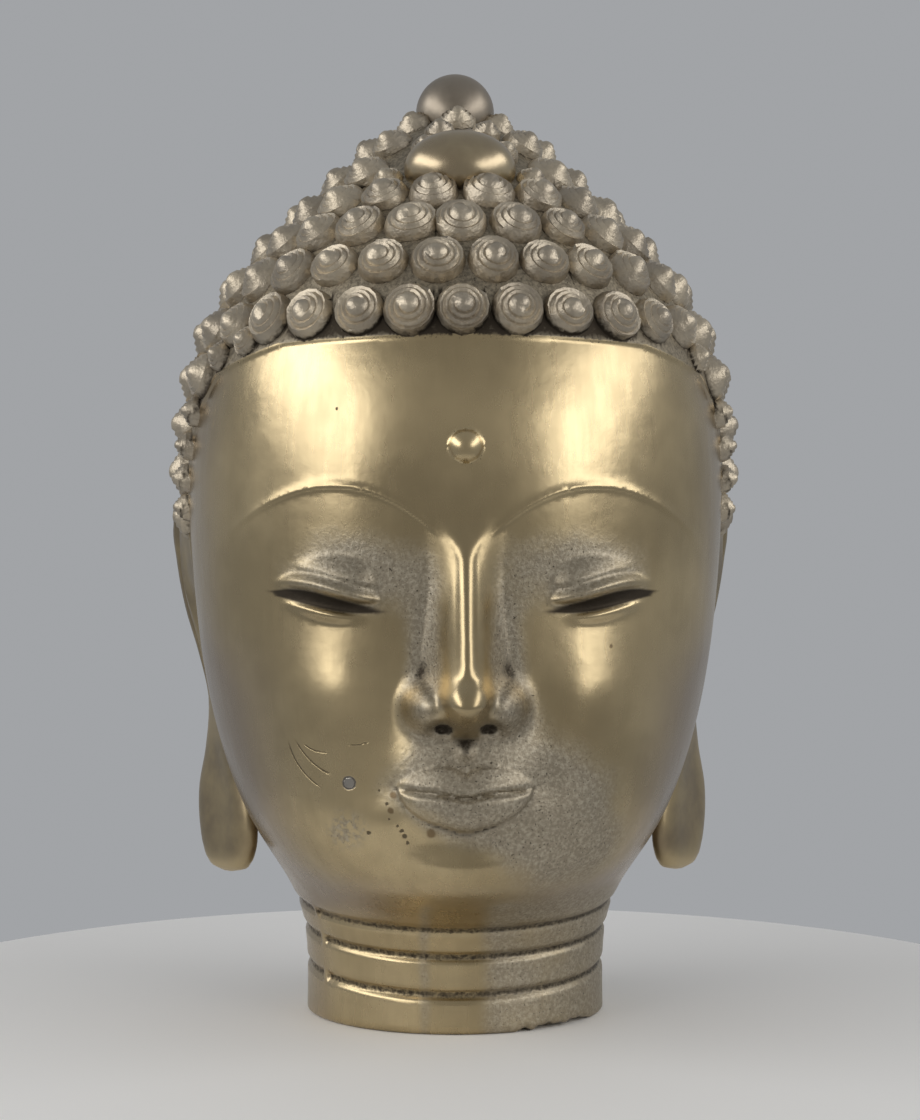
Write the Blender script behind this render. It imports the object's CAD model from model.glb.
import math

import bpy
import numpy as np
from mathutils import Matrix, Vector


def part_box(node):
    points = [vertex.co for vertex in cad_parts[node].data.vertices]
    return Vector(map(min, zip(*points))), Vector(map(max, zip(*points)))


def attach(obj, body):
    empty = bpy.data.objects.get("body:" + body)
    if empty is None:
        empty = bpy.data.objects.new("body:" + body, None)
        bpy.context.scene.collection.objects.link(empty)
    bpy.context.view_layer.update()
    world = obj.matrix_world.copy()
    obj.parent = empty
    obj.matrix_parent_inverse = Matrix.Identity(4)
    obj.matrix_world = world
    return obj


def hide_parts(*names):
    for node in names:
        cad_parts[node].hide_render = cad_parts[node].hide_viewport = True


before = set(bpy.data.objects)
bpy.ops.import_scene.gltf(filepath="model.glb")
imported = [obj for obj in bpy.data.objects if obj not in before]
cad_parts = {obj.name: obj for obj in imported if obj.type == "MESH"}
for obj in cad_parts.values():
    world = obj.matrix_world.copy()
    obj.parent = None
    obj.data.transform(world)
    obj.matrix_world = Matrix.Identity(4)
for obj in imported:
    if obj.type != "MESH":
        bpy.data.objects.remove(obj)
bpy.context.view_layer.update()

LOW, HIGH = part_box("head")
HEAD_HEIGHT = 300.0
UNIT = (HIGH.z - LOW.z) / HEAD_HEIGHT

# Driving sizes of the form.
NECK_RADIUS = 47.5
CHIN_Z = 40.0
FACE_HEIGHT = 168.0
SKULL_HALF_WIDTH = 85.5
SKULL_FRONT = 89.0
SKULL_BACK = 91.0
FOOT_BEVEL = 1.2
CHIP_HEIGHT = 1.6
CHIP_TURNS = (0.36, 0.46, 0.98, 1.1)  # where the rim's chip starts, is whole, starts to fade, and ends
MODULE = FACE_HEIGHT / 12

CURL_PITCH = 15.6
ROW_PITCH = 15.6
LOW_ROW_PITCH = 14.2  # below the front hairline the rows lie closer
CURL_RADIUS = 7.8
CURL_HEIGHT = 7.4
FIRST_ROW = 6.0  # way along the side from the front hairline's height up to row 0
ROWS_BELOW = -10
UNEVENNESS = 0.1
JEWEL_FOOT = 0.6  # below this share of its radius, curls stand in front of the front jewel
HAIR_MARGIN = 4.4  # the least height of a curl's middle over the hairline
CAP_THICKNESS = 0.6  # the hair stands on a cap this much proud of the skin

TOP_JEWEL_RADIUS = 12.6
TOP_JEWEL_SEAT = 12.2
FRONT_JEWEL_RADII = np.array([17.0, 14.0, 12.0])
EAR_THICKNESS = 9.0
URNA_RADIUS = 5.0
URNA_HEIGHT = 3.2
RING_SHARES = (0.81, 0.59, 0.3)  # heights of the neck's grooves, of the neck's height
RING_RISE = 8.5
RING_DEPTH = 1.3
RING_HALF_WIDTH = 1.5
RING_BREAK = -1.065  # the turn at which the grooves stop for a moment
RING_BREAK_HALF = 0.026


def level(modules):
    return CHIN_Z + modules * MODULE


MOUTH_Z = level(2.64)
NOSE_Z = level(4)
EYE_Z = level(6.55)
BROW_Z = level(8)
HAIRLINE_Z = level(12)
FRONT_JEWEL_Z = level(15.86)
EAR_TOP = level(8.86)
EAR_BOTTOM = level(0.21)
EAR_LENGTH = EAR_TOP - EAR_BOTTOM
URNA_Z = BROW_Z + 24


# Small functions of shape.
def smooth(start, end, v):
    t = np.clip((v - start) / (end - start), 0, 1)
    return t * t * (3 - 2 * t)


def bell(v, centre, width):
    return np.exp(-(((v - centre) / width) ** 2))


def spot(x, z, cx, cz, wx, wz):
    return np.exp(-(((x - cx) / wx) ** 2) - ((z - cz) / wz) ** 2)


def smooth_max(a, b, width):
    h = np.clip(0.5 + 0.5 * (a - b) / width, 0, 1)
    return b + (a - b) * h + width * h * (1 - h)


def positive(v):
    return np.clip(v, 0, None)


# The plain head: a cubic B-spline through stations, as in the solid.
def neck_station(side, front, back, flare=0.0):
    radius = NECK_RADIUS + flare
    return [radius, side * CHIN_Z, radius, front * CHIN_Z, radius, back * CHIN_Z, 0]


def skull_station(width, side, front, front_level, back, back_level, squareness):
    return [
        width * SKULL_HALF_WIDTH,
        level(side),
        front * SKULL_FRONT,
        level(front_level),
        back * SKULL_BACK,
        level(back_level),
        squareness,
    ]


STATIONS = np.array(
    [
        neck_station(0, 0, 0),
        neck_station(0.38, 0.35, 0.45, -0.3),
        neck_station(0.78, 0.73, 0.9, 0.7),
        skull_station(0.64, 0.36, 0.7, 0, 0.6, 1, 0.01),
        skull_station(0.765, 1.43, 0.905, 0.7, 0.71, 2.3, 0.02),
        skull_station(0.87, 3, 0.944, 2.4, 0.835, 3.86, 0.04),
        skull_station(0.943, 4.93, 0.947, 4.7, 0.934, 5.57, 0.05),
        skull_station(0.98, 7, 0.963, 6.86, 0.984, 7.43, 0.05),
        skull_station(1, 9.14, 1, 9, 1, 9.36, 0.04),
        skull_station(0.971, 11.43, 0.985, 11.43, 0.962, 11.43, 0.02),
        skull_station(0.836, 13.36, 0.89, 13.6, 0.846, 13.3, 0.01),
        skull_station(0.585, 14.93, 0.665, 15.1, 0.604, 14.93, 0),
        skull_station(0.404, 15.93, 0.455, 15.95, 0.396, 15.93, 0),
        skull_station(0.281, 16.93, 0.28, 16.93, 0.275, 16.93, 0),
        skull_station(0, 17.64, 0, 17.64, 0, 17.64, 0),
    ]
)
LAST = len(STATIONS) - 1
PADDED = np.vstack([2 * STATIONS[0] - STATIONS[1], STATIONS, 2 * STATIONS[-1] - STATIONS[-2]])


def station(s):
    i = np.clip(np.floor(s), 0, LAST - 1).astype(int)
    f = np.clip(s - i, 0, 1)[..., None]
    weights = [(1 - f) ** 3, 3 * f**3 - 6 * f**2 + 4, -3 * f**3 + 3 * f**2 + 3 * f + 1, f**3]
    return sum(w * PADDED[i + n] for n, w in enumerate(weights)) / 6


def plain_head(theta, s):
    theta, s = np.broadcast_arrays(np.asarray(theta, float), np.asarray(s, float))
    width, side_z, front, front_z, back, back_z, squareness = np.moveaxis(station(s), -1, 0)
    c, n = np.cos(theta), np.sin(theta)
    ahead = c > 0
    swell = 1 + squareness * np.sin(2 * theta) ** 2 * np.where(ahead, 1, 0.5)
    depth = np.where(ahead, front, back)
    return np.stack(
        [width * n * swell, -depth * c * swell, np.where(ahead, front_z, back_z) * c**2 + side_z * n**2], -1
    )


# The face's relief, as heights forwards over the plain head.
def brow_line(x):
    peak = 2.75 * MODULE
    inner = positive(peak - x) / (peak - 6)
    outer = positive(x - peak) / (2.35 * MODULE)
    return BROW_Z + 12.5 - 15.5 * inner**2.1 - 15 * outer**2


EYE_INNER = 1.2 * MODULE
EYE_OUTER = 4.4 * MODULE


def eye_lines(x):
    t = np.clip((x - EYE_INNER) / (EYE_OUTER - EYE_INNER), 0, 1)
    rise = EYE_Z + 4.6 * t - 2.4
    swell = positive(np.sin(math.pi * t))
    upper = rise + 2.4 * swell**0.8 - 1.3 * np.sin(2 * math.pi * t)
    lower = rise - 3.2 * swell**0.9 - 0.7 * np.sin(2 * math.pi * t)
    return upper, lower


def eye_slit(x, z):
    upper, lower = eye_lines(x)
    return smooth(-0.8, 2.2, smooth_max(lower - z, z - upper, 1) * -1)


def eyes(x, z):
    below = brow_line(x) - z
    fade = (1 - smooth(4.1 * MODULE, 5.3 * MODULE, x)) * smooth(2, 8, x)
    drop = 1 - np.exp(-positive(below) / 2.6)
    socket = (3.4 + 3.6 * smooth(0, 14, below)) * drop * fade * smooth(EYE_Z - 26, EYE_Z, z)
    corner = 4 * spot(x, z, 16.5, EYE_Z + 4.5, 8, 9.5)
    ridge = np.exp(-((below / 1.7) ** 2)) * fade
    ball = 1 - ((x - 2.72 * MODULE) / 24.5) ** 2 - ((z - EYE_Z - 4) / 15.3) ** 2
    upper, lower = eye_lines(x)
    within = smooth(EYE_INNER - 1, EYE_INNER + 2, x) * (1 - smooth(EYE_OUTER - 2, EYE_OUTER + 1, x))
    lid = (1.3 * bell(z - upper, 1.4, 1.4) - 0.8 * bell(z - upper, 4.4, 1)) * within
    pouch = (0.7 * bell(lower - z, 1.4, 1.7) - 0.4 * bell(lower - z, 4, 1.6)) * within
    return ridge - socket - corner + 12 * positive(ball) ** 1.15 - 3 * eye_slit(x, z) + lid + pouch


NOSE_TIP_Z = NOSE_Z + 6.5


def nose(x, z):
    up = np.clip((z - NOSE_TIP_Z) / (BROW_Z + 3 - NOSE_TIP_Z), 0, 1)
    lift = 0.06 * x**2
    under = smooth(NOSE_Z - 2.5 + lift, NOSE_TIP_Z + lift, z)
    height = (19.9 * (1 - up) ** 1.05 + 0.6 * up) * under
    top = height * (1 - smooth(BROW_Z + 1, BROW_Z + 9, z))
    ridge = 2.9 + 1.9 * bell(z, NOSE_TIP_Z, 8) + 5.5 * smooth(BROW_Z - 13, BROW_Z + 4, z) ** 2
    foot = 14 - 5.5 * up + 3 * smooth(BROW_Z - 16, BROW_Z, z)
    side = (1 - np.clip(smooth_max(x - ridge, 0, 3) / (foot - ridge), 0, 1)) ** 1.35
    crest = 1.2 * positive(1 - (x / ridge) ** 2) * smooth(NOSE_Z + 12, NOSE_Z + 20, z)
    crest = crest * (1 - smooth(BROW_Z - 8, BROW_Z + 2, z))
    return top * side + crest


LIP_HALF = 1.48 * MODULE


def mouth(x, z):
    t = np.clip(x / LIP_HALF, 0, 1)
    lower_t = np.clip(x / (0.93 * LIP_HALF), 0, 1)
    parting = MOUTH_Z + 1.4 * t**2.2 - 1.1 * bell(x, 0, 4.5)
    bow = 0.5 * bell(x, 0, 4.5)
    top = parting + 8.6 * positive(1 - t * t) ** 0.85 * (1 - 0.24 * bell(x, 0, 3.6)) + bow
    bottom = parting - 10.2 * np.sqrt(positive(1 - lower_t**2.2))
    muzzle = 5 * spot(x, z, 0, MOUTH_Z + 1, 25, 17)
    above = (z - parting) / np.maximum(top - parting, 0.05)
    below = (parting - z) / np.maximum(parting - bottom, 0.05)
    taper = np.sqrt(positive(1 - t * t))
    upper_lip = np.where((above >= 0) & (above <= 1), 0.6 + 3 * positive(1 - above) ** 0.8, 0) * taper
    crown = np.sqrt(positive(1 - ((below - 0.38) / 0.622) ** 2))
    lower_lip = np.where((below > 0) & (below <= 1), 0.4 + 3.8 * crown, 0) * taper
    near = 1 - smooth(LIP_HALF - 5, LIP_HALF + 2, x)
    crease = 1.6 * bell(z, parting, 1) * near
    corner = 1.7 * spot(x, z, LIP_HALF + 2.5, MOUTH_Z + 1.5, 6, 7)
    hollow = 2.4 * spot(x, z, 0, MOUTH_Z - 15, 17, 5.5)
    over_lip = smooth(MOUTH_Z + 7, MOUTH_Z + 12, z)
    philtrum = 1.5 * bell(x, 0, 2.8) * over_lip * (1 - smooth(NOSE_Z - 4, NOSE_Z, z))
    return muzzle + upper_lip + lower_lip - crease - corner - hollow - philtrum


def cheeks_and_chin(x, z):
    cheek = 3.4 * spot(x, z, 42, NOSE_Z + 8, 20, 19)
    fold = 1.2 * spot(x, z, 21.5, NOSE_Z + 2, 6, 12)
    chin = 5.4 * spot(x, z, 0, CHIN_Z + 12.5, 20, 12)
    jowl = 1.5 * spot(x, z, 36, CHIN_Z + 26, 15, 16)
    return cheek - fold + chin + jowl


# The nose's wings and tip: place across and above the nose's foot, radius and height.
NOSE_BALLS = ((0.68 * MODULE, 5.4, 7.6, 12.5), (0, 7.4, 9.6, 21.1))


def face_relief(side, z):
    x = np.abs(side)
    height = smooth_max(nose(x, z), eyes(x, z), 1.2) + mouth(x, z) + cheeks_and_chin(x, z)
    for across, up, radius, rise in NOSE_BALLS:
        away = np.hypot(x - across, z - NOSE_Z - up) / radius
        ball = rise * np.exp(-(away**2.5))
        height = height + smooth_max(ball - height, 0, 4.5) * (1 - smooth(0.9, 1.6, away))
    nostril = np.hypot((x - 6.4) / 3.4, (z - NOSE_Z + 0.3) / 1.7)
    height = height - 4 * np.exp(-(nostril**2.2))
    boss = 1 - (x**2 + (z - URNA_Z) ** 2) / URNA_RADIUS**2
    return height + URNA_HEIGHT * positive(boss) ** 0.7


# The neck's grooves, and the hairline that the hair's cap starts at.
def ring_line(share, theta):
    return share * CHIN_Z + RING_RISE * (0.5 - 0.5 * np.cos(theta))


def groove_depth(theta, z):
    whole = 1 - np.exp(-(((theta - RING_BREAK) / RING_BREAK_HALF) ** 4))
    away = [np.abs((z - ring_line(share, theta)) / RING_HALF_WIDTH) for share in RING_SHARES]
    return whole * sum(np.exp(-(a**3)) for a in away)


# Turns away from the face in degrees, and the hairline's height there in modules.
HAIRLINE = np.array(
    [[0, 12], [40, 11.9], [62, 11.4], [72, 10.5], [80, 9.2], [90, 7.8], [112, 4.8], [135, 2.9], [180, 1.7]]
)


def hairline(theta):
    degrees = np.degrees(np.minimum(np.abs(theta), 2 * math.pi - np.abs(theta)))
    return level(np.interp(degrees, HAIRLINE[:, 0], HAIRLINE[:, 1]))


def skin(theta, s):
    p = plain_head(theta, s)
    turned = np.abs((theta + math.pi) % (2 * math.pi) - math.pi)
    p[..., 1] -= face_relief(p[..., 0], p[..., 2]) * (1 - smooth(1.08, 1.43, turned))
    proud = CAP_THICKNESS * smooth(-0.8, 0.8, p[..., 2] - hairline(theta))
    radius = np.maximum(np.hypot(p[..., 0], p[..., 1]), 1e-6)
    outward = 1 + (proud - RING_DEPTH * groove_depth(theta, p[..., 2])) / np.maximum(radius, 8)
    p[..., 0] *= outward
    p[..., 1] *= outward
    return p


def station_at(theta, z):
    low, high = np.zeros(np.shape(theta)), np.full(np.shape(theta), float(LAST))
    for _ in range(26):
        middle = (low + high) / 2
        under = plain_head(theta, middle)[..., 2] < z
        low, high = np.where(under, middle, low), np.where(under, high, middle)
    return low


# The way along the head's side, from the middle of the foot.
SIDE_STATIONS = np.linspace(0, LAST, 1401)
SIDE_POINTS = plain_head(np.full_like(SIDE_STATIONS, math.pi / 2), SIDE_STATIONS)
SIDE_STEPS = np.linalg.norm(np.diff(SIDE_POINTS, axis=0), axis=1)
SIDE_LENGTHS = NECK_RADIUS + np.concatenate([[0], np.cumsum(SIDE_STEPS)])


# The skin is a lattice of theta and s whose cells are joined into larger ones wherever the form stays flat.
COLUMNS = 504
ROWS = 384
RIM_ROWS = 8  # lattice rows of the foot's edge, before the wall starts
RIM_WIDTH = 5  # how far the rim's rows reach in under the foot
TOP_ROW_Z = level(17.6)
FINE_STEPS = 4001
LARGEST_EXPONENT = 3  # the largest cells are 2 to this power lattice cells wide
# How far the form may leave a cell of the skin in front, at the side and behind, and under the hair.
FACE_TOLERANCE = 0.06
SIDE_TOLERANCE = 0.14
HAIR_TOLERANCE = 0.5


def spaced(places, density, shares):
    """Places at shares of the whole way, closer together where the density is higher."""
    way = np.concatenate([[0], np.cumsum((density[1:] + density[:-1]) / 2)])
    return np.interp(shares, way / way[-1], places)


def lattice_theta():
    turns = np.linspace(-math.pi, math.pi, FINE_STEPS)
    density = 0.32 + 1.0 * (1 - smooth(1.0, 1.5, np.abs(turns)))
    return spaced(turns, density, np.arange(COLUMNS) / COLUMNS)


def lattice_points():
    theta = lattice_theta()[None, :]
    heights = np.linspace(0, TOP_ROW_Z, FINE_STEPS)
    density = 0.3 + 0.7 * (1 - smooth(HAIRLINE_Z, HAIRLINE_Z + 12, heights))
    wall_rows = ROWS - RIM_ROWS
    z = spaced(heights, density, np.arange(1, wall_rows + 1) / (wall_rows + 1))
    z = FOOT_BEVEL + (z - z[0]) * (TOP_ROW_Z - FOOT_BEVEL) / (TOP_ROW_Z - z[0])
    front_s = station_at(np.zeros(wall_rows), z)[:, None] * np.ones_like(theta)
    wall = skin(np.broadcast_to(theta, front_s.shape), front_s)
    t = np.linspace(0, 1, RIM_ROWS, endpoint=False)[:, None]
    turn = np.clip(t * 2 - 1, 0, 1) * math.pi / 2
    radius = NECK_RADIUS - FOOT_BEVEL - RIM_WIDTH * np.clip(1 - 2 * t, 0, 1) + FOOT_BEVEL * np.sin(turn)
    rim_z = FOOT_BEVEL * (1 - np.cos(turn))
    rim = np.stack(np.broadcast_arrays(radius * np.sin(theta), -radius * np.cos(theta), rim_z), -1)
    points = np.concatenate([rim, wall])
    spread = smooth(*CHIP_TURNS[:2], theta) * (1 - smooth(*CHIP_TURNS[2:], theta))
    rough = 0.75 + 0.16 * np.sin(23 * theta) + 0.12 * np.sin(61 * theta + 1) - 0.5 * bell(theta, 0.5, 0.03)
    chip = CHIP_HEIGHT * spread * rough
    edge = smooth(NECK_RADIUS - RIM_WIDTH, NECK_RADIUS - 2, np.hypot(points[..., 0], points[..., 1]))
    points[..., 2] += chip * edge * (1 - smooth(0.5, 5, points[..., 2]))
    return points


def in_blocks(grid, size):
    """A view of the grid as blocks of size by size cells."""
    rows, columns = grid.shape[0] // size, grid.shape[1] // size
    return grid[: rows * size, : columns * size].reshape(rows, size, columns, size)


def in_each_block(points, size, i, j):
    """The point that is i rows and j columns from the first corner of each block."""
    rows, columns = (points.shape[0] - 1) // size, (points.shape[1] - 1) // size
    return points[i : i + rows * size : size, j : j + columns * size : size]


def leaf_exponents(points):
    """The exponent of the size of the cell that each lattice cell belongs to."""
    exponent = np.zeros((points.shape[0] - 1, points.shape[1]), int)
    theta = np.arctan2(points[..., 0], -points[..., 1])
    tolerance = np.where(np.abs(theta) > 1.3, SIDE_TOLERANCE, FACE_TOLERANCE)
    tolerance = np.where(points[..., 2] > hairline(theta) + 5, HAIR_TOLERANCE, tolerance)
    wrapped = np.concatenate([points, points[:, :1]], 1)
    allowed = np.concatenate([tolerance, tolerance[:, :1]], 1)
    for e in range(1, LARGEST_EXPONENT + 1):
        size = 2**e
        blocks = in_blocks(exponent, size)
        corner = [[in_each_block(wrapped, size, i, j) for j in (0, size)] for i in (0, size)]
        worst = np.zeros(blocks.shape[::2])
        for i in range(size + 1):
            for j in range(size + 1):
                f, g = i / size, j / size
                flat = (1 - f) * ((1 - g) * corner[0][0] + g * corner[0][1])
                flat = flat + f * ((1 - g) * corner[1][0] + g * corner[1][1])
                off = np.linalg.norm(in_each_block(wrapped, size, i, j) - flat, axis=-1)
                worst = np.maximum(worst, off / in_each_block(allowed, size, i, j))
        whole = (blocks == e - 1).all(axis=(1, 3)) & (worst < 1)
        blocks[:] = np.where(whole[:, None, :, None], e, blocks)
    return exponent


def balance(exponent):
    """No cell is more than twice as large as one beside it."""
    rows, columns = exponent.shape
    changed = True
    while changed:
        changed = False
        for e in range(LARGEST_EXPONENT, 1, -1):
            padded = np.pad(exponent, ((1, 1), (0, 0)), mode="edge")
            padded = np.concatenate([padded[:, -1:], padded, padded[:, :1]], 1)
            least = padded[1:-1, 1:-1].copy()
            for i in (0, 1, 2):
                for j in (0, 1, 2):
                    least = np.minimum(least, padded[i : i + rows, j : j + columns])
            blocks = in_blocks(exponent, 2**e)
            low = in_blocks(least, 2**e).min(axis=(1, 3))
            split = (blocks == e).all(axis=(1, 3)) & (low < e - 1)
            if split.any():
                changed = True
                blocks[:] = np.where(split[:, None, :, None], e - 1, blocks)
    return exponent


def skin_mesh():
    points = lattice_points()
    exponent = balance(leaf_exponents(points))
    columns = exponent.shape[1]
    i, j = np.indices(exponent.shape)
    size = 2**exponent
    first = (i % size == 0) & (j % size == 0)
    i, j, size = i[first], j[first], size[first]
    in_use = np.zeros(points.shape[:2], bool)
    for di in (0, 1):
        for dj in (0, 1):
            in_use[i + di * size, (j + dj * size) % columns] = True
    half = size // 2
    walk = [(0, 0), (0, half), (0, size), (half, size), (size, size), (size, half), (size, 0), (half, 0)]
    number = np.full(points.shape[:2], -1)
    number[in_use] = np.arange(in_use.sum())
    around = []
    for k, (di, dj) in enumerate(walk):
        index = number[i + di, (j + dj) % columns]
        if k % 2 == 1:
            index = np.where(half > 0, index, -1)
        around.append(index)
    faces = [[v for v in face if v >= 0] for face in np.stack(around, 1).tolist()]
    bottom = number[0][number[0] >= 0].tolist()
    top = number[-1][number[-1] >= 0].tolist()
    faces.append(bottom[::-1])
    faces.append(top)
    return points[in_use], faces


# The curls.
def chance(a, b):
    """A share from 0 to 1 that looks random, and is always the same for the same two numbers."""
    v = math.sin(a * 12.9898 + b * 78.233) * 43758.5453
    return v - math.floor(v)


FRONT_JEWEL = plain_head(0.0, station_at(np.array(0.0), FRONT_JEWEL_Z))
TOP_JEWEL = np.array([0, 0, plain_head(0.0, float(LAST))[2] + TOP_JEWEL_RADIUS - TOP_JEWEL_SEAT])


def under_ear(p):
    """Whether a curl at p would come through the hollow of an ear."""
    up = (p[2] - EAR_BOTTOM) / EAR_LENGTH
    back = p[1] / EAR_LENGTH
    return abs(p[0]) > 0.837 * SKULL_HALF_WIDTH and 0.55 < up < 0.9 and 0.02 < back < 0.2


def curl_places():
    places = []
    start = np.interp(station_at(np.array(math.pi / 2), HAIRLINE_Z), SIDE_STATIONS, SIDE_LENGTHS) + FIRST_ROW
    row = ROWS_BELOW
    while start + row * ROW_PITCH < SIDE_LENGTHS[-1]:
        length = start + row * (ROW_PITCH if row > 0 else LOW_ROW_PITCH)
        s = np.interp(length, SIDE_LENGTHS, SIDE_STATIONS)
        around = plain_head(math.pi / 2, s)[0]
        if around < TOP_JEWEL_RADIUS:
            break
        count = round(2 * math.pi * around / CURL_PITCH)
        for k in range(count):
            turn = (k + 0.5 * (row % 2) + UNEVENNESS * (chance(row, k) - 0.5)) * 2 * math.pi / count
            theta = turn - 2 * math.pi if turn > math.pi else turn
            p = plain_head(theta, s)
            off = (p - FRONT_JEWEL) / FRONT_JEWEL_RADII
            on_jewel = math.hypot(off[0], off[2]) < 1 and off[2] > -JEWEL_FOOT and p[1] < 0
            if p[2] > hairline(theta) + HAIR_MARGIN and not on_jewel and not under_ear(p):
                places.append((theta, s))
        row += 1
    return places


FILL_SIZE = 0.62
FILL_GAP = 10.4  # a small curl's least distance from the other curls' middles
FILL_RISES = (5.5, 8, 10.5, 13, 16)  # heights over the hairline at which small curls are tried


def fill_places(places):
    """Small curls in the pockets that the rows leave, along the slanted hairline and beside the jewel."""
    side_turns = np.arange(0.7, 2.0, 0.02)
    jewel_turns = np.arange(0.1, 1.5, 0.05)
    tries = [(turn, hairline(turn) + rise) for turn in side_turns for rise in FILL_RISES]
    tries += [(turn, FRONT_JEWEL_Z + rise) for turn in jewel_turns for rise in range(-6, 24, 2)]
    middles = [plain_head(theta, s) for theta, s in places]
    small = []
    for theta, z in tries + [(-turn, z) for turn, z in tries]:
        s = float(station_at(np.array(theta), z))
        p = plain_head(theta, s)
        gap = np.linalg.norm(np.array(middles) - p, axis=1).min()
        off_front = np.linalg.norm((p - FRONT_JEWEL) / FRONT_JEWEL_RADII) - 1
        off_top = np.linalg.norm(p - TOP_JEWEL) - TOP_JEWEL_RADIUS
        if gap > FILL_GAP and off_front > 0.2 and off_top > 3 and not under_ear(p):
            middles.append(p)
            small.append((theta, s))
    return small


CURL_SIDES = 15
COIL_ROWS = 2  # rows of points across one coil
COILS = 4.2  # the first is the button in the middle
BUTTON = 0.32  # its share of the curl's radius
COIL_RIDGE = 0.06
# How unlike the curls are: shares for size, roundness and lean, and a height.
SIZE_SPREAD = 0.05
SQUASH_SPREAD = 0.04
LEAN = 0.05
HEIGHT_SPREAD = 0.6
BATCH_GAP = 2.4 * CURL_RADIUS
# Heights, and the curls' sizes there.
SMALLER_ABOVE = ((FRONT_JEWEL_Z, FRONT_JEWEL_Z + 8, level(17)), (1, 0.9, 0.8))


def curl_template():
    """A snail-shell curl: rows of points along the coil from the middle to the rim, as shares of its size."""
    points = [(0.0, 0.0, 1.0)]
    ids = {}
    turns = [2 * math.pi * i / CURL_SIDES for i in range(CURL_SIDES)]

    def outward(c):
        return BUTTON * c if c < 1 else BUTTON + (1 - BUTTON) * (c - 1) / (COILS - 1)

    def rise(c, row):
        if c < 1:
            top = 0.82 + 0.18 * math.sqrt(1 - c * c)
        else:
            top = 0.82 - 0.48 * ((outward(c) - BUTTON) / (1 - BUTTON)) ** 1.15
        ridge = COIL_RIDGE if row % COIL_ROWS == 0 else -COIL_RIDGE
        return top + ridge * float(smooth(0.7, 1.05, c))

    def circle(radius, height):
        first = len(points)
        points.extend((radius * math.cos(angle), radius * math.sin(angle), height) for angle in turns)
        return list(range(first, len(points)))

    for i, angle in enumerate(turns):
        for j in range(1 - COIL_ROWS, int(COILS * COIL_ROWS) + 1):
            c = j / COIL_ROWS + i / CURL_SIDES
            if 1e-6 < c < COILS - 0.2 / COIL_ROWS:
                ids[i, j] = len(points)
                points.append((outward(c) * math.cos(angle), outward(c) * math.sin(angle), rise(c, j)))
    rim = circle(1, 0.12)
    foot = circle(1.08, -0.32)

    def vertex(i, j):
        if i == CURL_SIDES:
            i, j = 0, j + COIL_ROWS
        c = j / COIL_ROWS + i / CURL_SIDES
        if c <= 1e-6:
            return 0
        return ids.get((i, j), rim[i])

    faces = []
    for i in range(CURL_SIDES):
        for j in range(-COIL_ROWS, int(COILS * COIL_ROWS) + COIL_ROWS + 1):
            loop = [vertex(i, j), vertex(i + 1, j), vertex(i + 1, j + 1), vertex(i, j + 1)]
            face = [v for n, v in enumerate(loop) if v != loop[n - 1]]
            if len(set(face)) > 2:
                faces.append(face[::-1])
    for i in range(CURL_SIDES):
        n = (i + 1) % CURL_SIDES
        faces.append([rim[i], foot[i], foot[n], rim[n]])
    faces.append(foot[::-1])
    return np.array(points), faces


def local_frame(theta, s):
    step = 0.01
    origin = plain_head(theta, s)
    across = (plain_head(theta + step, s) - origin) / step
    upwards = (plain_head(theta, s + step) - origin) / step
    normal = np.cross(across, upwards)
    across /= np.linalg.norm(across)
    normal /= np.linalg.norm(normal)
    return origin, across, np.cross(normal, across), normal


def curl_meshes(places, small):
    """The curls in batches, so that no two curls of one batch touch."""
    template, faces = curl_template()
    rng = np.random.default_rng(11)
    batches = []
    for n, (theta, s) in enumerate(places + small):
        origin, across, upwards, normal = local_frame(theta, s)
        share = FILL_SIZE if n >= len(places) else np.interp(origin[2], *SMALLER_ABOVE)
        size = (1 + SIZE_SPREAD * rng.uniform(-1, 1)) * share
        squash = 1 + SQUASH_SPREAD * rng.uniform(-1, 1)
        angle = rng.uniform(0, 2 * math.pi)
        lean = rng.uniform(-LEAN, LEAN, 2)
        radius = CURL_RADIUS * size
        ca, sa = math.cos(angle), math.sin(angle)
        a = (template[:, 0] * ca - template[:, 1] * sa) * radius * squash
        b = (template[:, 0] * sa + template[:, 1] * ca) * radius / squash
        h = template[:, 2] * (CURL_HEIGHT - HEIGHT_SPREAD * rng.random()) * np.sqrt(share)
        a, b = a + lean[0] * h, b + lean[1] * h
        drop = (a**2 + b**2) / (2 * SKULL_HALF_WIDTH)
        points = origin + a[:, None] * across + b[:, None] * upwards
        points = points + (h - drop * (template[:, 2] < 0.3))[:, None] * normal
        for batch in batches:
            gaps = np.linalg.norm(np.array(batch["middles"]) - origin, axis=1)
            if gaps.min() > BATCH_GAP:
                break
        else:
            batch = {"middles": [], "points": [], "faces": []}
            batches.append(batch)
        start = len(batch["middles"]) * len(template)
        batch["middles"].append(origin)
        batch["points"].append(points)
        batch["faces"] += [[v + start for v in face] for face in faces]
    return [(np.concatenate(b["points"]), b["faces"]) for b in batches]


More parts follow.
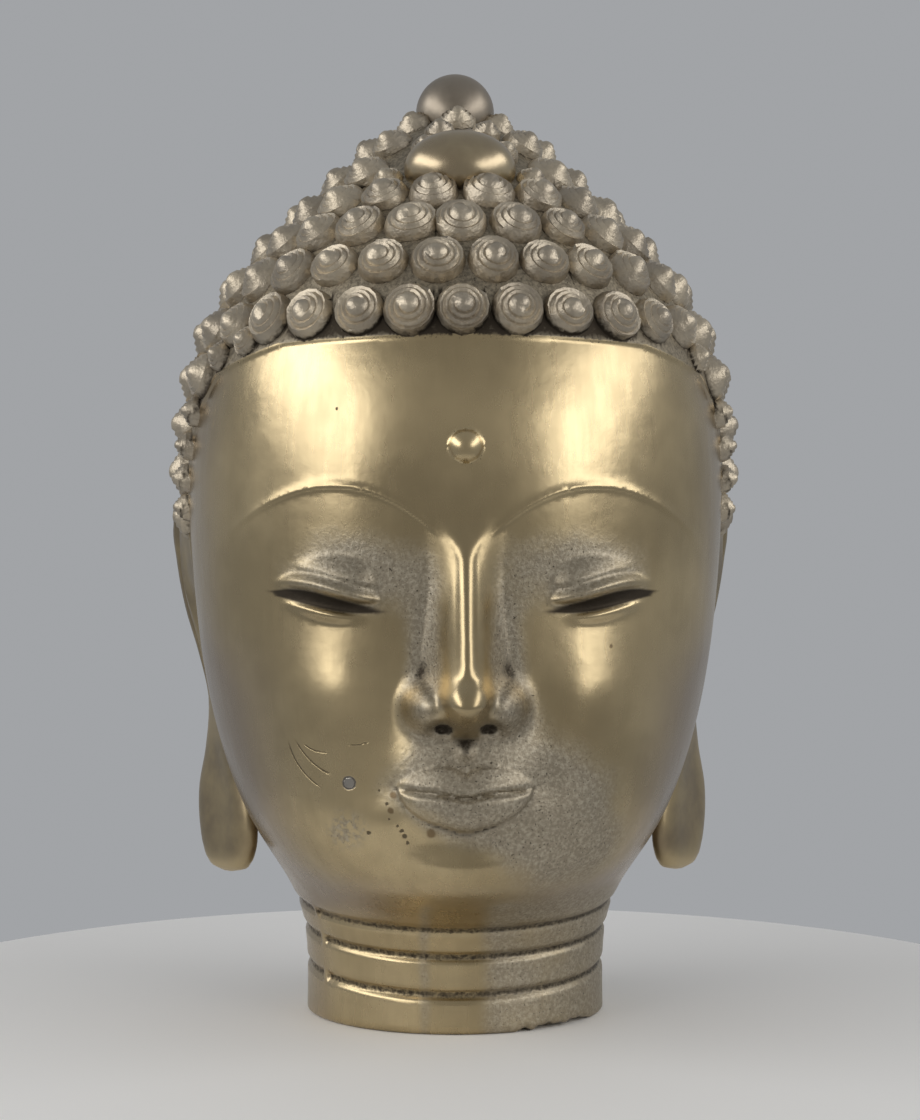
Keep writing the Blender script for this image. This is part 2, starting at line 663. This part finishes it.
# The ears.
EAR_LEVELS = np.array(
    [
        # share of the ear's length, front edge across and back, back edge across and back, thickness
        [0.0, 0.84, 0.035, 0.87, 0.06, 0.2],
        [0.008, 0.802, 0.0, 0.906, 0.1, 0.6],
        [0.025, 0.78, -0.025, 0.928, 0.125, 0.9],
        [0.06, 0.761, -0.047, 0.947, 0.15, 1.1],
        [0.11, 0.754, -0.058, 0.959, 0.165, 1.2],
        [0.21, 0.772, -0.05, 0.965, 0.182, 1.15],
        [0.33, 0.813, -0.017, 0.936, 0.182, 1],
        [0.45, 0.854, 0.008, 0.924, 0.198, 0.9],
        [0.57, 0.901, 0.008, 0.965, 0.248, 0.9],
        [0.7, 0.93, -0.008, 1.023, 0.289, 1],
        [0.83, 0.953, -0.008, 1.061, 0.314, 1],
        [0.93, 0.971, 0.025, 1.073, 0.289, 0.9],
        [0.985, 0.982, 0.099, 1.053, 0.223, 0.6],
        [1.0, 0.985, 0.15, 1.02, 0.18, 0.2],
    ]
)
EAR_INSET = 1.4  # how much thinner the ear is than the solid's
EAR_ROWS = 56
EAR_SIDES = 40


def ear_relief(c, t):
    """Heights of the outer side. Across the ear c is -1 in front and 1 behind, up it t is 0 to 1."""
    upper = smooth(0.42, 0.55, t)
    inside = 1.6 * (1 - smooth(0.62, 0.8, np.abs(c))) * upper
    groove = 1.6 * bell(c, 0.55, 0.14) * upper * (1 - smooth(0.88, 0.96, t))
    fold = 1.3 * bell(c, 0.25, 0.16) * upper * (1 - smooth(0.8, 0.92, t))
    bowl = 3.4 * np.exp(-(np.hypot((c + 0.2) / 0.42, (t - 0.63) / 0.11) ** 3))
    lobe = 1.3 * np.exp(-(np.hypot(c / 0.6, (t - 0.2) / 0.15) ** 3))
    return fold - inside - groove - bowl - lobe


def ear_columns(t):
    """The columns of the ear's table at shares t of its length, on smooth curves."""
    x = EAR_LEVELS[:, 0]
    n = np.clip(np.searchsorted(x, t) - 1, 0, len(x) - 2)
    width = x[n + 1] - x[n]
    f = (t - x[n]) / width
    columns = []
    for column in EAR_LEVELS.T[1:]:
        slopes = np.gradient(column, x)
        columns.append(
            (2 * f**3 - 3 * f**2 + 1) * column[n]
            + (f**3 - 2 * f**2 + f) * slopes[n] * width
            + (3 * f**2 - 2 * f**3) * column[n + 1]
            + (f**3 - f**2) * slopes[n + 1] * width
        )
    return [column[:, None] for column in columns]


def ear_mesh(side):
    t = 0.5 - 0.5 * np.cos(np.linspace(0.04, math.pi - 0.04, EAR_ROWS))
    fx, fy, bx, by, thick = ear_columns(t)
    fx, bx = fx * SKULL_HALF_WIDTH, bx * SKULL_HALF_WIDTH
    fy, by = fy * EAR_LENGTH, by * EAR_LENGTH
    angle = 2 * math.pi * np.arange(EAR_SIDES)[None, :] / EAR_SIDES
    sine, cosine = np.sin(angle), np.cos(angle)
    c = np.sign(cosine) * np.abs(cosine) ** 0.9
    length = np.hypot(bx - fx, by - fy)
    out_x, out_y = (by - fy) / length, -(bx - fx) / length
    depth = 0.5 * (EAR_THICKNESS - EAR_INSET) * thick * np.sign(sine) * np.abs(sine) ** 0.75
    depth = depth + ear_relief(c, t[:, None]) * smooth(0.05, 0.5, sine)
    px = (fx + bx) / 2 + (bx - fx) / 2 * c + out_x * depth
    py = (fy + by) / 2 + (by - fy) / 2 * c + out_y * depth
    pz = EAR_BOTTOM + t[:, None] * EAR_LENGTH
    points = np.stack(np.broadcast_arrays(side * px, py, pz), -1).reshape(-1, 3)
    faces = []
    for r in range(EAR_ROWS - 1):
        for n in range(EAR_SIDES):
            m = (n + 1) % EAR_SIDES
            face = [r * EAR_SIDES + n, (r + 1) * EAR_SIDES + n, (r + 1) * EAR_SIDES + m, r * EAR_SIDES + m]
            faces.append(face if side > 0 else face[::-1])
    bottom = list(range(EAR_SIDES))
    top = [(EAR_ROWS - 1) * EAR_SIDES + n for n in range(EAR_SIDES)]
    faces.append(bottom if side > 0 else bottom[::-1])
    faces.append(top[::-1] if side > 0 else top)
    return points, faces


def ball_mesh(radii, centre, rings, sides):
    down = np.linspace(0, math.pi, rings + 1)[1:-1, None]
    turn = 2 * math.pi * np.arange(sides)[None, :] / sides
    out = np.sin(down)
    ball = np.stack(np.broadcast_arrays(out * np.cos(turn), out * np.sin(turn), np.cos(down)), -1)
    points = np.concatenate([[[0, 0, 1]], ball.reshape(-1, 3), [[0, 0, -1]]]) * radii + centre
    faces = []
    last = len(points) - 1
    for n in range(sides):
        m = (n + 1) % sides
        faces.append([0, 1 + n, 1 + m])
        faces.append([last, last - sides + m, last - sides + n])
        for r in range(rings - 2):
            a = 1 + r * sides
            faces.append([a + n, a + sides + n, a + sides + m, a + m])
    return points, faces


# Meshes and the union.
SKIN, HAIR, EAR, JEWEL, DULL = range(5)
SHARP_ANGLE = 52


def new_object(name, points, faces, slot, materials):
    mesh = bpy.data.meshes.new(name)
    mesh.from_pydata((np.asarray(points) * UNIT).tolist(), [], faces)
    for material in materials:
        mesh.materials.append(material)
    mesh.polygons.foreach_set("material_index", [slot] * len(mesh.polygons))
    mesh.update()
    obj = bpy.data.objects.new(name, mesh)
    bpy.context.scene.collection.objects.link(obj)
    return obj


def unite(base, other):
    """Joins a closed mesh to another, and keeps one skin around both."""
    modifier = base.modifiers.new("join", "BOOLEAN")
    modifier.operation = "UNION"
    modifier.solver = "MANIFOLD"
    modifier.object = other
    depsgraph = bpy.context.evaluated_depsgraph_get()
    joined = bpy.data.meshes.new_from_object(base.evaluated_get(depsgraph))
    base.modifiers.clear()
    old = base.data
    base.data = joined
    bpy.data.meshes.remove(old)
    bpy.data.objects.remove(other)


# Materials.
class Nodes:
    """A material's node tree, with one short call for each node."""

    def __init__(self, name):
        self.material = bpy.data.materials.new(name)
        self.material.use_nodes = True
        self.tree = self.material.node_tree
        self.shader = self.tree.nodes["Principled BSDF"]
        coordinates = self.tree.nodes.new("ShaderNodeTexCoord")
        self.place = coordinates.outputs["Object"]

    def add(self, kind, inputs, output=0, **settings):
        node = self.tree.nodes.new(kind)
        for key, value in settings.items():
            setattr(node, key, value)
        for key, value in inputs.items():
            if isinstance(value, bpy.types.NodeSocket):
                self.tree.links.new(value, node.inputs[key])
            else:
                node.inputs[key].default_value = value
        return node.outputs[output]

    def math(self, operation, a, b=0.0):
        return self.add("ShaderNodeMath", {0: a, 1: b}, operation=operation)

    def noise(self, scale, detail=3.0, roughness=0.55, stretch=(1, 1, 1)):
        vector = self.add("ShaderNodeMapping", {"Vector": self.place, "Scale": stretch})
        inputs = {"Vector": vector, "Scale": scale, "Detail": detail, "Roughness": roughness}
        return self.add("ShaderNodeTexNoise", inputs)

    def vary(self, noise, amount, value=0.0):
        """A value with a noise of the given amount on it, which raises it as much as it lowers it."""
        return self.math("ADD", self.math("MULTIPLY", self.math("SUBTRACT", noise, 0.5), amount), value)

    def ramp(self, value, low, high):
        inputs = {"Value": value, "From Min": low, "From Max": high}
        return self.add("ShaderNodeMapRange", inputs, interpolation_type="SMOOTHSTEP")

    def mix(self, share, a, b):
        inputs = {0: share, 6: a, 7: b}
        return self.add("ShaderNodeMix", inputs, output=2, data_type="RGBA")

    def blend(self, share, a, b):
        return self.add("ShaderNodeMix", {0: share, 2: a, 3: b}, output=0, data_type="FLOAT")

    def attribute(self, name):
        return self.add("ShaderNodeAttribute", {}, output=2, attribute_name=name)

    def bump(self, height, distance, normal=None):
        inputs = {"Height": height, "Distance": distance, "Strength": 1.0}
        if normal is not None:
            inputs["Normal"] = normal
        return self.add("ShaderNodeBump", inputs)

    def set(self, **inputs):
        for key, value in inputs.items():
            socket = self.shader.inputs[key.replace("_", " ")]
            if isinstance(value, bpy.types.NodeSocket):
                self.tree.links.new(value, socket)
            else:
                socket.default_value = value


BRASS = (0.57, 0.46, 0.275, 1)
PALE_BRASS = (0.78, 0.66, 0.42, 1)
BROWN_BRASS = (0.40, 0.32, 0.19, 1)
ROSE_BROWN = (0.335, 0.27, 0.205, 1)
CAP_TONES = ((0.19, 0.165, 0.125, 1), (0.36, 0.315, 0.24, 1))
PATINA = (0.31, 0.27, 0.205, 1)
DARK_PATINA = (0.055, 0.045, 0.034, 1)
SAND = (0.47, 0.42, 0.33, 1)
SPOT_BROWN = (0.17, 0.115, 0.06, 1)
PLUG_GREY = (0.36, 0.34, 0.31, 1)
HAIR_TONES = ((0.41, 0.36, 0.29, 1), (0.58, 0.51, 0.40, 1))
HAIR_RIDGE = (0.93, 0.84, 0.68, 1)
EAR_TONES = ((0.27, 0.215, 0.14, 1), BROWN_BRASS)
JEWEL_TONES = ((0.38, 0.31, 0.21, 1), (0.50, 0.42, 0.28, 1))
DULL_TONES = ((0.26, 0.225, 0.18, 1), (0.35, 0.305, 0.25, 1))
LOBE_WEAR = 9.0  # height over the lobes' ends up to which they are worn to brass

# Marks on the face, most of them on the cheek and chin at the viewer's left: place across and up, and radius.
MARK_WOBBLE = 0.8
MARKS_FADE = (-20, -30)  # the marks fade out between these depths, towards the back
PLUG = (-33.3, 79.4, 2.0)
BROWN_SPOTS = [(-20.6, 76.2, 0.95), (-21.4, 71.8, 0.85), (-9.8, 65.4, 1.3), (42.5, 118.5, 0.6)]
DARK_DOTS = [
    (-22.4, 73.6, 0.45),
    (-24.6, 77.4, 0.3),
    (-27.6, 65.0, 0.6),
    (-21.8, 69.2, 0.35),
    (-19.4, 67.4, 0.4),
    (-18.2, 66.0, 0.6),
    (-17.3, 64.4, 0.65),
    (-16.5, 62.4, 0.5),
    (-36.8, 187.0, 0.35),
]
SCUFF = (-34.0, 65.6, 5.0)
# Scratches are arcs: the arc's middle, the way from it to the circle's centre, and the arc's half length.
SCRATCHES = [
    (-47.5, 83.0, 16, 12, 7.5),
    (-44.5, 85.4, 15, 16, 6.5),
    (-43.2, 88.4, 3, 9, 3.4),
    (-41.6, 83.2, 8, 14, 3.2),
    (-30.5, 90.6, -2, 14, 2.6),
]
SCRATCH_WIDTH = 0.22


def largest(n, values):
    result = values[0]
    for value in values[1:]:
        result = n.math("MAXIMUM", result, value)
    return result


class Marks:
    """Round marks and scratches, laid on the face from the front."""

    def __init__(self, n):
        self.n = n
        split = n.tree.nodes.new("ShaderNodeSeparateXYZ")
        n.tree.links.new(n.place, split.inputs[0])
        wobble = n.vary(n.noise(700, 2), MARK_WOBBLE * UNIT)
        across = n.math("ADD", split.outputs["X"], wobble)
        up = n.math("SUBTRACT", split.outputs["Z"], wobble)
        self.flat = n.add("ShaderNodeCombineXYZ", {"X": across, "Y": 0.0, "Z": up})
        self.front = n.ramp(split.outputs["Y"], *[depth * UNIT for depth in MARKS_FADE])

    def distance(self, across, up):
        inputs = {0: self.flat, 1: (across * UNIT, 0, up * UNIT)}
        return self.n.add("ShaderNodeVectorMath", inputs, output=1, operation="DISTANCE")

    def disc(self, across, up, radius, softness=0.3):
        inner, outer = radius * (1 - softness), radius * (1 + softness)
        shape = self.n.ramp(self.distance(across, up), outer * UNIT, inner * UNIT)
        return self.n.math("MULTIPLY", shape, self.front)

    def scratch(self, across, up, centre_across, centre_up, half_length):
        radius = math.hypot(centre_across, centre_up)
        away = self.n.math("SUBTRACT", self.distance(across + centre_across, up + centre_up), radius * UNIT)
        width = SCRATCH_WIDTH * UNIT
        line = self.n.ramp(self.n.math("ABSOLUTE", away), 1.6 * width, 0.4 * width)
        return self.n.math("MULTIPLY", line, self.disc(across, up, half_length, 0.25))


def bronze_skin():
    n = Nodes("bronze")
    marks = Marks(n)
    hollow = n.attribute("hollow")
    dull = n.attribute("dull")
    broad = n.noise(14, 4, 0.6)
    cloud = n.noise(45, 5, 0.6)
    speckle = n.noise(900, 3, 0.65)
    pits = n.noise(1600, 2, 0.5)
    brushed = n.noise(260, 3, 0.6, stretch=(1, 1, 0.12))
    scuff = n.math("MULTIPLY", marks.disc(*SCUFF, 0.6), n.ramp(n.noise(420, 3, 0.6), 0.4, 0.6))
    patina = largest(n, [n.ramp(n.vary(cloud, 0.55, dull), 0.3, 0.75), n.math("MULTIPLY", scuff, 0.8)])
    streaks = n.math("ADD", broad, n.math("MULTIPLY", brushed, 0.12))
    tone = n.mix(n.ramp(streaks, 0.4, 0.68), BRASS, BROWN_BRASS)
    tone = n.mix(n.attribute("rose"), tone, ROSE_BROWN)
    cap = n.ramp(n.vary(speckle, 0.5, n.attribute("cap")), 0.3, 0.7)
    tone = n.mix(n.ramp(hollow, -0.18, -0.5), tone, PALE_BRASS)
    grey = n.mix(n.ramp(speckle, 0.38, 0.7), PATINA, SAND)
    color = n.mix(patina, tone, grey)
    color = n.mix(cap, color, n.mix(n.ramp(speckle, 0.35, 0.65), *CAP_TONES))
    deep = n.vary(speckle, 0.9, hollow)
    dark = n.math("MAXIMUM", n.ramp(deep, 0.55, 1.05), n.ramp(n.attribute("slit"), 0.3, 0.75))
    color = n.mix(dark, color, DARK_PATINA)
    spots = n.math("MULTIPLY", n.ramp(pits, 0.64, 0.72), n.math("MAXIMUM", patina, n.ramp(hollow, 0.2, 0.5)))
    color = n.mix(spots, color, DARK_PATINA)
    brown = largest(n, [marks.disc(*spot_place, 0.35) for spot_place in BROWN_SPOTS])
    color = n.mix(n.math("MULTIPLY", brown, 0.8), color, SPOT_BROWN)
    outline = n.math("SUBTRACT", marks.disc(*PLUG, 0.12), marks.disc(*PLUG[:2], PLUG[2] * 0.75, 0.12))
    color = n.mix(marks.disc(*PLUG, 0.1), color, PLUG_GREY)
    dots = [marks.disc(*dot) for dot in DARK_DOTS] + [marks.scratch(*arc) for arc in SCRATCHES]
    dots = largest(n, dots + [outline])
    color = n.mix(n.math("MULTIPLY", dots, 0.75), color, DARK_PATINA)
    rough = n.blend(patina, 0.28, 0.5)
    rough = n.vary(brushed, 0.14, n.vary(cloud, 0.16, rough))
    rough = n.blend(largest(n, [dark, dots, cap]), rough, 0.6)
    wave = n.bump(n.noise(60, 3, 0.5), 0.00026)
    dents = n.math("SUBTRACT", n.math("MULTIPLY", speckle, n.math("ADD", patina, 0.12)), dots)
    grain = n.bump(dents, 0.00014, wave)
    n.set(Base_Color=color, Metallic=1.0, Roughness=rough, Normal=grain)
    return n.material


def bronze_hair():
    n = Nodes("bronze_hair")
    hollow = n.attribute("hollow")
    cloud = n.noise(60, 4, 0.6)
    speckle = n.noise(600, 2, 0.6)
    tone = n.mix(n.ramp(cloud, 0.35, 0.65), *HAIR_TONES)
    color = n.mix(n.ramp(hollow, -0.2, -0.8), tone, HAIR_RIDGE)
    dark = n.ramp(n.vary(speckle, 0.9, hollow), 0.05, 0.75)
    dust = n.math("MULTIPLY", n.ramp(n.noise(1100, 3, 0.6), 0.5, 0.62), 0.35)
    color = n.mix(dust, color, SAND)
    color = n.mix(dark, color, DARK_PATINA)
    rough = n.blend(dark, n.vary(cloud, 0.2, 0.47), 0.65)
    grain = n.bump(speckle, 0.0003)
    n.set(Base_Color=color, Metallic=1.0, Roughness=rough, Normal=grain)
    return n.material


def simple_metal(name, tones, rough, worn_height=0.0):
    n = Nodes(name)
    cloud = n.noise(40, 4, 0.6)
    color = n.mix(n.ramp(cloud, 0.35, 0.65), *tones)
    if worn_height:
        height = n.add("ShaderNodeSeparateXYZ", {0: n.place}, output=2)
        worn = n.ramp(height, (EAR_BOTTOM + worn_height) * UNIT, EAR_BOTTOM * UNIT)
        color = n.mix(worn, color, BRASS)
    wave = n.bump(n.noise(80, 3, 0.5), 0.0003)
    n.set(Base_Color=color, Metallic=1.0, Roughness=n.vary(cloud, 0.2, rough), Normal=wave)
    return n.material


# Masks on the finished mesh. The face's relief is sampled on a grid, so far across and between two heights.
GRID = 0.75
GRID_ACROSS = 96
GRID_UP = (30, 216)


def hollows(p):
    """How hollow the face's relief is at points: above 0 in its recesses, below 0 on its ridges."""
    xs = np.arange(-GRID_ACROSS, GRID_ACROSS + GRID, GRID)
    zs = np.arange(GRID_UP[0], GRID_UP[1] + GRID, GRID)
    relief = face_relief(xs[None, :], zs[:, None])

    def blurred(sigma):
        reach = int(3 * sigma / GRID)
        kernel = np.exp(-0.5 * (np.arange(-reach, reach + 1) * GRID / sigma) ** 2)
        kernel /= kernel.sum()
        padded = np.pad(relief, reach, mode="edge")
        rows = np.apply_along_axis(np.convolve, 0, padded, kernel, "valid")
        return np.apply_along_axis(np.convolve, 1, rows, kernel, "valid")

    value = (blurred(1.6) - relief) / 1.3 + (blurred(5.0) - relief) / 9.0
    i = np.clip((p[:, 2] - zs[0]) / GRID, 0, len(zs) - 1.001)
    j = np.clip((p[:, 0] - xs[0]) / GRID, 0, len(xs) - 1.001)
    i0, j0 = i.astype(int), j.astype(int)
    f, g = i - i0, j - j0
    sampled = (1 - f) * ((1 - g) * value[i0, j0] + g * value[i0, j0 + 1])
    sampled = sampled + f * ((1 - g) * value[i0 + 1, j0] + g * value[i0 + 1, j0 + 1])
    theta = np.abs(np.arctan2(p[:, 0], -p[:, 1]))
    slit = eye_slit(np.abs(p[:, 0]), p[:, 2])
    return (sampled + 0.4 * slit) * (1 - smooth(1.0, 1.35, theta))


def mark(mesh, name, values):
    layer = mesh.attributes.new(name, "FLOAT", "POINT")
    layer.data.foreach_set("value", values.astype(np.float32))


def mesh_curvature(mesh, p):
    """Mean bend at each point from its edges: above 0 in hollows, below 0 on ridges."""
    edges = np.empty(len(mesh.edges) * 2, int)
    mesh.edges.foreach_get("vertices", edges)
    a, b = edges.reshape(-1, 2).T
    normals = np.empty(len(mesh.vertices) * 3)
    mesh.vertices.foreach_get("normal", normals)
    normals = normals.reshape(-1, 3)
    span = p[b] - p[a]
    length = np.maximum(np.linalg.norm(span, axis=1), 1e-6)
    bend = ((normals[b] - normals[a]) * span).sum(1) / length**2
    total = np.zeros(len(p))
    weight = np.zeros(len(p))
    for end in (a, b):
        np.add.at(total, end, bend * length)
        np.add.at(weight, end, length)
    return -total / np.maximum(weight, 1e-9)


def cap_distance(p):
    """Roughly how far points stand out of the hair's cap."""
    theta = np.arctan2(p[:, 0], -p[:, 1])
    s = station_at(theta, p[:, 2])
    under = plain_head(theta, s)
    above = plain_head(theta, np.minimum(s + 0.05, LAST))
    rise = np.abs(above[:, 2] - under[:, 2])
    run = np.hypot(above[:, 0] - under[:, 0], above[:, 1] - under[:, 1])
    upright = rise / np.maximum(np.hypot(rise, run), 1e-6)
    out = np.hypot(p[:, 0], p[:, 1]) - np.hypot(under[:, 0], under[:, 1])
    return out * upright


def mark_masks(mesh):
    flat = np.empty(len(mesh.vertices) * 3)
    mesh.vertices.foreach_get("co", flat)
    p = flat.reshape(-1, 3) / UNIT
    theta = np.arctan2(p[:, 0], -p[:, 1])
    x, z = p[:, 0], p[:, 2]
    over_hairline = z - hairline(theta)
    bend = mesh_curvature(mesh, p)
    face_hollow = hollows(p)
    groove = groove_depth(theta, z) * (z < CHIN_Z + 12)
    in_hair = over_hairline > 0.4
    low = (1 - smooth(3, 13, over_hairline)) * (1 - 0.6 * smooth(0.45, 0.8, np.abs(theta)))
    in_curls = np.clip(bend * 1.6, -1, 1) + (0.26 + 0.8 * low) * (1 - smooth(0.8, 3.4, cap_distance(p)))
    hollow = np.where(in_hair, in_curls, np.clip(face_hollow, -1, 1))
    hollow = np.maximum(hollow, groove * 0.9)
    near_hair = (1 - smooth(0, 2.4, np.abs(over_hairline))) * 0.55
    mark(mesh, "hollow", hollow + np.where(in_hair, 0, near_hair))
    mark(mesh, "cap", smooth(-0.6, 1.4, over_hairline))
    mark(mesh, "slit", eye_slit(np.abs(x), z) * (p[:, 1] < 0))
    eye = spot(np.abs(x), z, 2.3 * MODULE, EYE_Z + 9, 26, 15)
    nose_side = spot(np.abs(x), z, 12, NOSE_Z + 18, 7, 22)
    lips = spot(x, z, 0, MOUTH_Z + 2, 27, 17)
    jaw = spot(x, z, 29, CHIN_Z + 26, 22, 27)
    stripe = bell(x, -11, 3.6)
    on_neck = 1 - smooth(CHIN_Z, CHIN_Z + 8, z)
    neck = (0.6 * smooth(-2, 12, x) + 0.55 * stripe) * on_neck
    back = 0.5 * smooth(1.2, 1.8, np.abs(theta))
    dull = 0.75 * eye + 0.7 * nose_side + 0.8 * lips + 0.9 * jaw * (1 - on_neck) + neck + back
    mark(mesh, "dull", np.clip(dull + 0.25 * np.clip(face_hollow, 0, 1), 0, 1))
    jaw_side = smooth(0.55, 0.95, np.abs(theta)) * (1 - smooth(100, 130, z)) * smooth(34, 46, z)
    temple = 0.5 * smooth(0.85, 1.15, np.abs(theta))
    under_chin = 0.8 * (1 - smooth(0, 12, np.abs(z - CHIN_Z - 2))) * smooth(0.1, 0.5, np.abs(theta))
    mark(mesh, "rose", np.clip(0.8 * jaw_side + temple + under_chin, 0, 0.9))


def build_head():
    materials = [
        bronze_skin(),
        bronze_hair(),
        simple_metal("bronze_ear", EAR_TONES, 0.4, LOBE_WEAR),
        simple_metal("bronze_jewel", JEWEL_TONES, 0.3),
        simple_metal("bronze_dull", DULL_TONES, 0.42),
    ]
    head = new_object("head_casting", *skin_mesh(), SKIN, materials)
    places = curl_places()
    for points, faces in curl_meshes(places, fill_places(places)):
        unite(head, new_object("curls", points, faces, HAIR, materials))
    for side in (-1, 1):
        unite(head, new_object("ear", *ear_mesh(side), EAR, materials))
    top = ball_mesh(np.full(3, TOP_JEWEL_RADIUS), TOP_JEWEL, rings=28, sides=40)
    unite(head, new_object("jewel", *top, DULL, materials))
    front = ball_mesh(FRONT_JEWEL_RADII, FRONT_JEWEL, rings=32, sides=48)
    unite(head, new_object("jewel", *front, JEWEL, materials))
    head.data.name = "head_casting"
    return head


def finish_head(head):
    mesh = head.data
    mesh.validate()
    mesh.polygons.foreach_set("use_smooth", [True] * len(mesh.polygons))
    mesh.set_sharp_from_angle(angle=math.radians(SHARP_ANGLE))
    mark_masks(mesh)
    mesh.update()


# Floor, light and camera. The floor's sizes are in units, the lights' in metres.
FLOOR_SIDES = 128
FLOOR_RADIUS = 210.0
FLOOR_Z = -0.05
FLOOR_COLOR = (0.9, 0.895, 0.885, 1)
SOFTBOXES = (("left softbox", -66, 0.42, 5.9), ("right softbox", 62, 0.38, 4.7))  # azimuth, width and power
SOFTBOX_DISTANCE = 1.0
SOFTBOX_Z = 0.55
SOFTBOX_HEIGHT = 1.5
SOFTBOX_COLOR = (1, 0.985, 0.96)
LIGHT_AIM = Vector((0, 0, 0.15))
WORLD_IN_FRONT = (0.33, 0.325, 0.315, 1)
WORLD_BEHIND = (0.36, 0.37, 0.385, 1)
CAMERA_AZIMUTH = -2.0
CAMERA_DISTANCE = 742.0
CAMERA_HEIGHT = 143.5
FOCAL_PIXELS = 2300.0
PHOTO_HEIGHT = 1120.0
SENSOR_SIZE = 36.0
AIM_ACROSS = 1.6


def build_floor():
    turn = [2 * math.pi * n / FLOOR_SIDES for n in range(FLOOR_SIDES)]
    points = [(FLOOR_RADIUS * math.cos(a), FLOOR_RADIUS * math.sin(a), FLOOR_Z) for a in turn]
    n = Nodes("floor")
    n.set(Base_Color=FLOOR_COLOR, Roughness=0.6)
    floor = new_object("floor", points, [list(range(FLOOR_SIDES))], 0, [n.material])


def on_circle(azimuth, radius, z):
    a = math.radians(azimuth)
    return (radius * math.sin(a), -radius * math.cos(a), z)


def build_lights():
    for name, azimuth, width, power in SOFTBOXES:
        light = bpy.data.lights.new(name, "AREA")
        light.shape = "RECTANGLE"
        light.size, light.size_y = width, SOFTBOX_HEIGHT
        light.energy = power
        light.color = SOFTBOX_COLOR
        obj = bpy.data.objects.new(name, light)
        bpy.context.scene.collection.objects.link(obj)
        obj.location = on_circle(azimuth, SOFTBOX_DISTANCE, SOFTBOX_Z)
        obj.rotation_euler = (LIGHT_AIM - obj.location).to_track_quat("-Z", "Z").to_euler()


def build_world():
    world = bpy.data.worlds.new("studio")
    bpy.context.scene.world = world
    world.use_nodes = True
    tree = world.node_tree
    nodes = tree.nodes
    coordinates = nodes.new("ShaderNodeTexCoord")
    split = nodes.new("ShaderNodeSeparateXYZ")
    tree.links.new(coordinates.outputs["Generated"], split.inputs[0])
    fade = nodes.new("ShaderNodeMapRange")
    fade.inputs["From Min"].default_value = -0.9
    fade.inputs["From Max"].default_value = 0.2
    tree.links.new(split.outputs["Y"], fade.inputs["Value"])
    mix = nodes.new("ShaderNodeMix")
    mix.data_type = "RGBA"
    mix.inputs[6].default_value = WORLD_IN_FRONT
    mix.inputs[7].default_value = WORLD_BEHIND
    tree.links.new(fade.outputs["Result"], mix.inputs[0])
    tree.links.new(mix.outputs[2], nodes["Background"].inputs["Color"])


def build_camera():
    camera = bpy.data.cameras.new("camera")
    camera.sensor_fit = "AUTO"
    camera.sensor_width = SENSOR_SIZE
    camera.lens = SENSOR_SIZE * FOCAL_PIXELS / PHOTO_HEIGHT
    camera.clip_start = 0.01
    obj = bpy.data.objects.new("camera", camera)
    bpy.context.scene.collection.objects.link(obj)
    obj.location = on_circle(CAMERA_AZIMUTH, CAMERA_DISTANCE * UNIT, CAMERA_HEIGHT * UNIT)
    aim = Vector((AIM_ACROSS * UNIT, 0, CAMERA_HEIGHT * UNIT))
    obj.rotation_euler = (aim - obj.location).to_track_quat("-Z", "Y").to_euler()
    bpy.context.scene.camera = obj


build_floor()
build_lights()
build_world()
build_camera()
head = build_head()
finish_head(head)
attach(head, "root")
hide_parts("head")
bpy.context.scene.view_settings.view_transform = "Standard"
